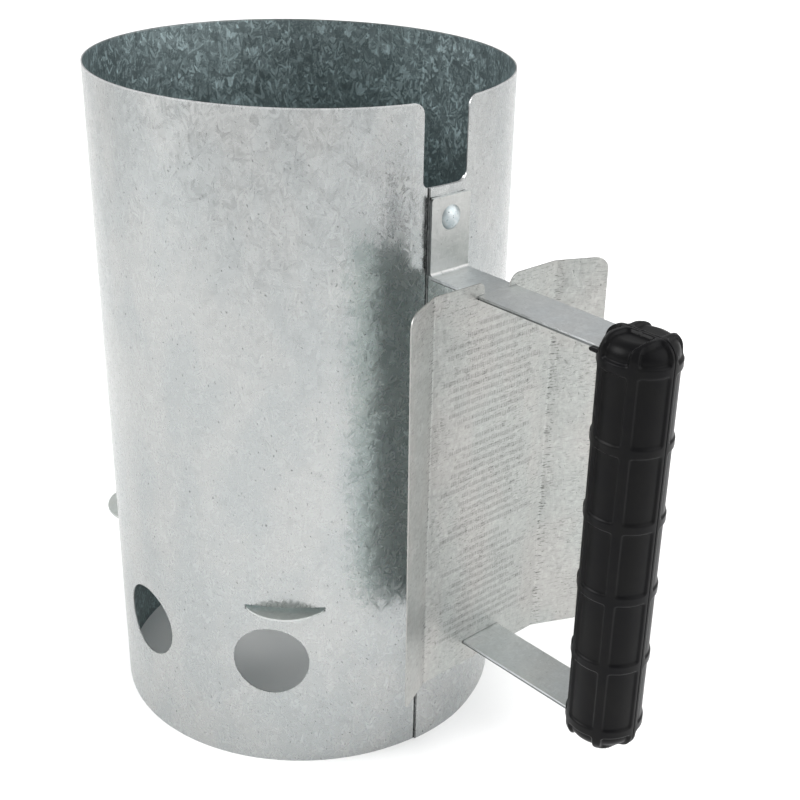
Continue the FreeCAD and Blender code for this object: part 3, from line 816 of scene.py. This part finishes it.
def grip_half_mesh(shape, axis_x, base_z, side):
    """One closed half shell: outer surface, hollow, and the faces that meet the other half."""
    mesh = bmesh.new()
    squeeze = 1 - PARTING_GAP / 2 / shape.radius
    azimuths = shape.azimuths()
    raised = {}

    def placed(x, y, z):
        y = side * (abs(y) * squeeze + PARTING_GAP / 2)
        return Vector((axis_x + x * MM, y * MM, base_z + z * MM))

    def outer(row, azimuth):
        at, height = shape.point(azimuth, row)
        spot = placed(*at)
        raised[spot.to_tuple(6)] = height
        return spot

    def inner(row, azimuth):
        r, z = row
        return placed(r * math.cos(azimuth), r * math.sin(azimuth), z)

    shell = surface_grid(mesh, shape.meridian(), azimuths, outer, side < 0)
    lining_turns = [math.pi * step / HOLLOW_STEPS for step in range(HOLLOW_STEPS + 1)]
    hollow = surface_grid(mesh, shape.lining(), lining_turns, inner, side > 0)
    for column in (0, -1):
        rim = [line[column] for line in shell] + [line[column] for line in reversed(hollow)]
        towards = (column == 0) == (side > 0)
        mesh.faces.new(rim if towards else rim[::-1])
    bmesh.ops.recalc_face_normals(mesh, faces=mesh.faces)
    data = bpy.data.meshes.new("grip_half")
    mesh.to_mesh(data)
    mesh.free()
    heights = data.attributes.new("raised", "FLOAT", "POINT")
    for vertex in data.vertices:
        heights.data[vertex.index].value = raised.get(vertex.co.to_tuple(6), 0.0)
    return data


def as_object(mesh, name):
    data = bpy.data.meshes.new(name)
    mesh.to_mesh(data)
    mesh.free()
    piece = bpy.data.objects.new(name, data)
    bpy.context.scene.collection.objects.link(piece)
    return piece


def block(low, high):
    """A box between two corners, in millimetres."""
    mesh = bmesh.new()
    bmesh.ops.create_cube(mesh, size=1.0)
    for vertex in mesh.verts:
        for axis in range(3):
            vertex.co[axis] = (high if vertex.co[axis] > 0 else low)[axis] * MM
    return as_object(mesh, "block")


def rod(x, z, y_range, diameter):
    """A round bar along Y between two places, in millimetres."""
    first, last = min(y_range), max(y_range)
    mesh = bmesh.new()
    radius = diameter / 2 * MM
    bmesh.ops.create_cone(
        mesh, cap_ends=True, segments=48, radius1=radius, radius2=radius, depth=(last - first) * MM
    )
    turn = Matrix.Rotation(math.radians(-90), 4, "X")
    middle = Vector((x, (first + last) / 2, z)) * MM
    bmesh.ops.transform(mesh, matrix=Matrix.Translation(middle) @ turn, verts=mesh.verts)
    return as_object(mesh, "rod")


def carve(piece, operation, tool):
    """Cuts a tool out of a piece, or joins it to it, and drops the tool."""
    step = piece.modifiers.new("carve", "BOOLEAN")
    step.operation = operation
    step.solver = "EXACT"
    step.object = tool
    bpy.context.view_layer.update()
    seen = piece.evaluated_get(bpy.context.evaluated_depsgraph_get())
    carved = bpy.data.meshes.new_from_object(seen)
    piece.modifiers.clear()
    piece.data = carved
    bpy.data.objects.remove(tool)


def fit_to_strap(piece, side, axis_x, radius):
    """Cuts the strap's two ways in, and adds the lip beside the upper arm."""
    edge = STRAP_W / 2 + STRAP_PLAY
    for low_z, high_z in (UPPER_ARM_Z, LOWER_ARM_Z):
        low = (axis_x - radius - 1, -edge, low_z - STRAP_PLAY)
        carve(piece, "DIFFERENCE", block(low, (axis_x, edge, high_z + STRAP_PLAY)))
    beside = sorted((side * edge, side * (edge + LIP_T)))
    low_z, high_z = LIP_Z
    tip_r = (high_z - low_z) / 2
    low = (LIP_START_X + tip_r, beside[0], low_z)
    carve(piece, "UNION", block(low, (axis_x - radius / 2, beside[1], high_z)))
    carve(piece, "UNION", rod(LIP_START_X + tip_r, low_z + tip_r, beside, 2 * tip_r))


def fit_to_screws(piece, side, axis_x, radius):
    """Adds the bosses and cuts the screws' holes. The heads are in the +Y half."""
    x = axis_x + SCREW_OFFSET_X
    for node in ("lower_grip_screw", "upper_grip_screw"):
        low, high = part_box(node)
        z = (low[2] + high[2]) / 2 / MM
        wall = side * (radius - GRIP_WALL + 0.6)
        carve(piece, "UNION", rod(x, z, (side * PARTING_GAP / 2, wall), SCREW_BOSS_D))
        carve(piece, "DIFFERENCE", rod(x, z, (-SCREW_SEAT_Y, SCREW_SEAT_Y), SCREW_SHANK_HOLE_D))
        if side > 0:
            carve(piece, "DIFFERENCE", rod(x, z, (SCREW_SEAT_Y, radius + 1), SCREW_HEAD_HOLE_D))


def make_grip():
    """Both halves of the grip."""
    low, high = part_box("grip_half_left")
    radius = -low[1] / MM
    axis_x = high[0] / MM - radius
    shape = GripShape(radius, (high[2] - low[2]) / MM)
    plastic = black_plastic()
    for side, node in ((-1, "grip_half_left"), (1, "grip_half_right")):
        data = grip_half_mesh(shape, axis_x * MM, low[2], side)
        piece = bpy.data.objects.new(node.replace("half", "shell"), data)
        bpy.context.scene.collection.objects.link(piece)
        piece.data.materials.append(plastic)
        fit_to_strap(piece, side, axis_x, radius)
        fit_to_screws(piece, side, axis_x, radius)
        for polygon in piece.data.polygons:
            polygon.use_smooth = True
        piece.data.set_sharp_from_angle(angle=math.radians(40))
        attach(piece, "root")
        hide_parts(node)


make_camera()
make_floor()
make_surround()
make_light()
dress_cad_nodes()
make_grip()
